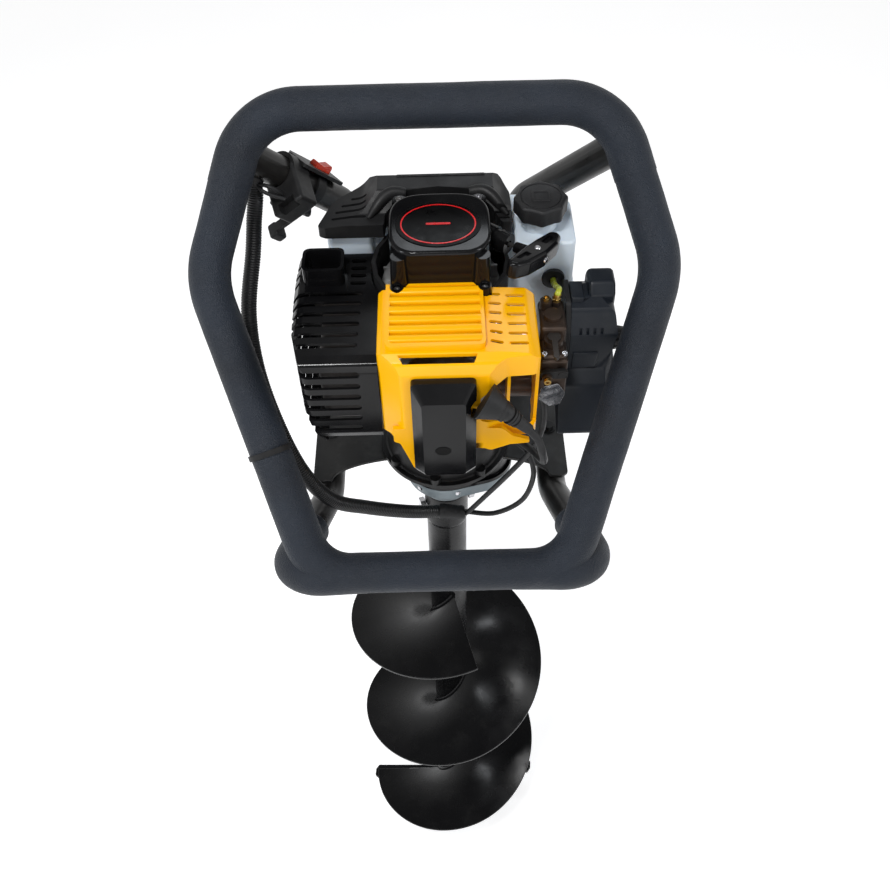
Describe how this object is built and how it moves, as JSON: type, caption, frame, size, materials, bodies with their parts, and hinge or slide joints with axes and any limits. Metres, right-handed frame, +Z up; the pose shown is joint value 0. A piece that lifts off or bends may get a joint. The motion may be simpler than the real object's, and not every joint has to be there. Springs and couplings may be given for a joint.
{
  "type": "soil auger",
  "caption": "One-man petrol soil auger: helical drill bit under a gearbox and small engine, carried in a tilted foam-covered tube frame with throttle and stop switch.",
  "frame": {"origin": "tip of the pilot point, on the auger's axis", "axes": "+Z up along the auger's axis, towards the engine; +Y towards the operator and the fuel tank; -Y towards the cylinder and the front bar; +X towards the carburettor and the air filter; -X towards the muffler"},
  "size_m": [0.4108, 0.3496, 1.2446],
  "materials": {
    "frame_tube": "gloss black",
    "foam_grip_rear": "closed-cell foam sleeve",
    "foam_grip_front": "closed-cell foam sleeve",
    "mount_plate": "dark painted sheet steel",
    "output_bearing": "ground",
    "gearbox_lower": "blue-grey cast and painted",
    "gearbox_upper": "black",
    "clutch_housing": "gloss black",
    "connecting_rod": "forged",
    "piston": "turned",
    "crankcase": "die cast",
    "cylinder": "die cast",
    "spark_plug": "plated shell",
    "fan_case": "moulded black",
    "starter_housing": "moulded gloss black",
    "starter_rope": "braided",
    "cylinder_shroud": "moulded yellow",
    "plug_cover": "moulded gloss black",
    "plug_boot": "moulded",
    "ht_lead": "smooth",
    "muffler_body": "heat-stained sheet",
    "muffler_guard": "moulded gloss black",
    "carburettor": "chromated casting",
    "air_filter_base": "moulded black",
    "air_filter_cover": "moulded black",
    "air_filter_element": "open foam",
    "fuel_tank": "translucent blow-moulded",
    "tank_bracket": "bent strip",
    "tank_cover": "moulded black",
    "tank_grommet": "moulded",
    "fuel_hose": "translucent hose",
    "throttle_clamp": "moulded black",
    "switch_plate": "bent strip",
    "wiring_conduit": "corrugated sleeve",
    "taped_joint": "wrapped in tape",
    "throttle_cable": "sheathed",
    "stop_cable": "sheathed",
    "cable_tie": "moulded",
    "auger_pipe": "gloss black",
    "auger_flight": "gloss black, worn",
    "cutter_blade_left": "gloss black",
    "cutter_blade_right": "gloss black",
    "pilot_point": "dark",
    "drive_bolt": "zinc plated",
    "output_gear": "cut gear",
    "lay_gear": "cut gear",
    "clutch_drum": "turned",
    "clutch_shoes": "sintered",
    "crankshaft_lower": "machined",
    "crankshaft_upper": "machined",
    "flywheel_fan": "die cast",
    "starter_pulley": "moulded",
    "starter_handle": "moulded black",
    "fuel_cap": "moulded black",
    "air_filter_knob": "moulded black",
    "choke_lever": "moulded black",
    "primer_bulb": "translucent rubber",
    "throttle_lever": "moulded black",
    "throttle_arm": "plated",
    "stop_switch": "moulded orange-red"
  },
  "bodies": {
    "machine": {"frame_tube": "frame_tube", "foam_grip_rear": "foam_grip_rear", "foam_grip_front": "foam_grip_front", "mount_plate": "mount_plate", "output_bearing": "output_bearing", "gearbox_lower": "gearbox_lower", "gearbox_upper": "gearbox_upper", "clutch_housing": "clutch_housing", "connecting_rod": "connecting_rod", "piston": "piston", "crankcase": "crankcase", "cylinder": "cylinder", "spark_plug": "spark_plug", "fan_case": "fan_case", "starter_housing": "starter_housing", "starter_rope": "starter_rope", "cylinder_shroud": "cylinder_shroud", "plug_cover": "plug_cover", "plug_boot": "plug_boot", "ht_lead": "ht_lead", "muffler_body": "muffler_body", "muffler_guard": "muffler_guard", "carburettor": "carburettor", "air_filter_base": "air_filter_base", "air_filter_cover": "air_filter_cover", "air_filter_element": "air_filter_element", "fuel_tank": "fuel_tank", "tank_bracket": "tank_bracket", "tank_cover": "tank_cover", "tank_grommet": "tank_grommet", "fuel_hose": "fuel_hose", "throttle_clamp": "throttle_clamp", "switch_plate": "switch_plate", "wiring_conduit": "wiring_conduit", "taped_joint": "taped_joint", "throttle_cable": "throttle_cable", "stop_cable": "stop_cable", "cable_tie": "cable_tie"},
    "bit": {"auger_pipe": "auger_pipe", "auger_flight": "auger_flight", "cutter_blade_left": "cutter_blade_left", "cutter_blade_right": "cutter_blade_right", "pilot_point": "pilot_point", "drive_bolt": "drive_bolt", "output_gear": "output_gear"},
    "lay_shaft": {"lay_gear": "lay_gear"},
    "engine_shaft": {"clutch_drum": "clutch_drum", "clutch_shoes": "clutch_shoes", "crankshaft_lower": "crankshaft_lower", "crankshaft_upper": "crankshaft_upper", "flywheel_fan": "flywheel_fan"},
    "rope_pulley": {"starter_pulley": "starter_pulley"},
    "pull_handle": {"starter_handle": "starter_handle"},
    "cap": {"fuel_cap": "fuel_cap"},
    "filter_knob": {"air_filter_knob": "air_filter_knob"},
    "choke": {"choke_lever": "choke_lever"},
    "primer": {"primer_bulb": "primer_bulb"},
    "throttle_trigger": {"throttle_lever": "throttle_lever"},
    "throttle_plate_arm": {"throttle_arm": "throttle_arm"},
    "switch_rocker": {"stop_switch": "stop_switch"}
  },
  "joints": [
    {"name": "bit_spin", "type": "hinge", "parent": "machine", "child": "bit", "pos_m": [0, 0, 0], "axis": [0, 0, 1], "continuous": true},
    {"name": "lay_spin", "type": "hinge", "parent": "machine", "child": "lay_shaft", "pos_m": [0.033, 0, 0.87], "axis": [0, 0, 1], "continuous": true},
    {"name": "engine_spin", "type": "hinge", "parent": "machine", "child": "engine_shaft", "pos_m": [0, 0, 1], "axis": [0, 0, 1], "continuous": true},
    {"name": "starter_pull", "type": "slide", "parent": "machine", "child": "pull_handle", "axis": [0.8, -0.6, 0], "range_m": [0, 0.5], "stiffness_N_per_m": 20, "springref_m": -0.3, "deforming": ["starter_rope"]},
    {"name": "pulley_spin", "type": "hinge", "parent": "machine", "child": "rope_pulley", "pos_m": [0, -0.002, 1.15], "axis": [0, 0, 1], "range_deg": [-900, 0]},
    {"name": "cap_turn", "type": "hinge", "parent": "machine", "child": "cap", "pos_m": [0.086, 0.04, 1.15], "axis": [0, 0, 1], "range_deg": [0, 360]},
    {"name": "filter_knob_turn", "type": "hinge", "parent": "machine", "child": "filter_knob", "pos_m": [0.152, -0.018, 1.056], "axis": [1, 0, 0], "range_deg": [0, 720]},
    {"name": "choke_turn", "type": "hinge", "parent": "machine", "child": "choke", "pos_m": [0.098, -0.086, 1.082], "axis": [0, 1, 0], "range_deg": [0, 75]},
    {"name": "primer_press", "type": "slide", "parent": "machine", "child": "primer", "axis": [0, 0, 1], "range_m": [0, 0.004], "stiffness_N_per_m": 200, "springref_m": -0.004},
    {"name": "throttle_squeeze", "type": "hinge", "parent": "machine", "child": "throttle_trigger", "pos_m": [-0.11886, 0.06444, 1.14323], "axis": [0.5546, 0.4295, -0.7127], "range_deg": [0, 35], "stiffness_Nm_per_rad": 0.1, "springref_deg": -28.65},
    {"name": "throttle_arm_turn", "type": "hinge", "parent": "machine", "child": "throttle_plate_arm", "pos_m": [0.092, -0.064, 1.102], "axis": [0, 0, 1], "range_deg": [0, 61]},
    {"name": "switch_rock", "type": "hinge", "parent": "machine", "child": "switch_rocker", "pos_m": [-0.10571, 0.10673, 1.15285], "axis": [0.6123, -0.7906, 0], "range_deg": [-6, 0]}
  ],
  "couplings": [
    {"joint": "lay_spin", "follows": "bit_spin", "ratio": -3.125},
    {"joint": "engine_spin", "follows": "bit_spin", "ratio": 18.359},
    {"joint": "pulley_spin", "follows": "starter_pull", "rad_per_m": -31.25},
    {"joint": "throttle_arm_turn", "follows": "throttle_squeeze", "ratio": 1.7143}
  ]
}
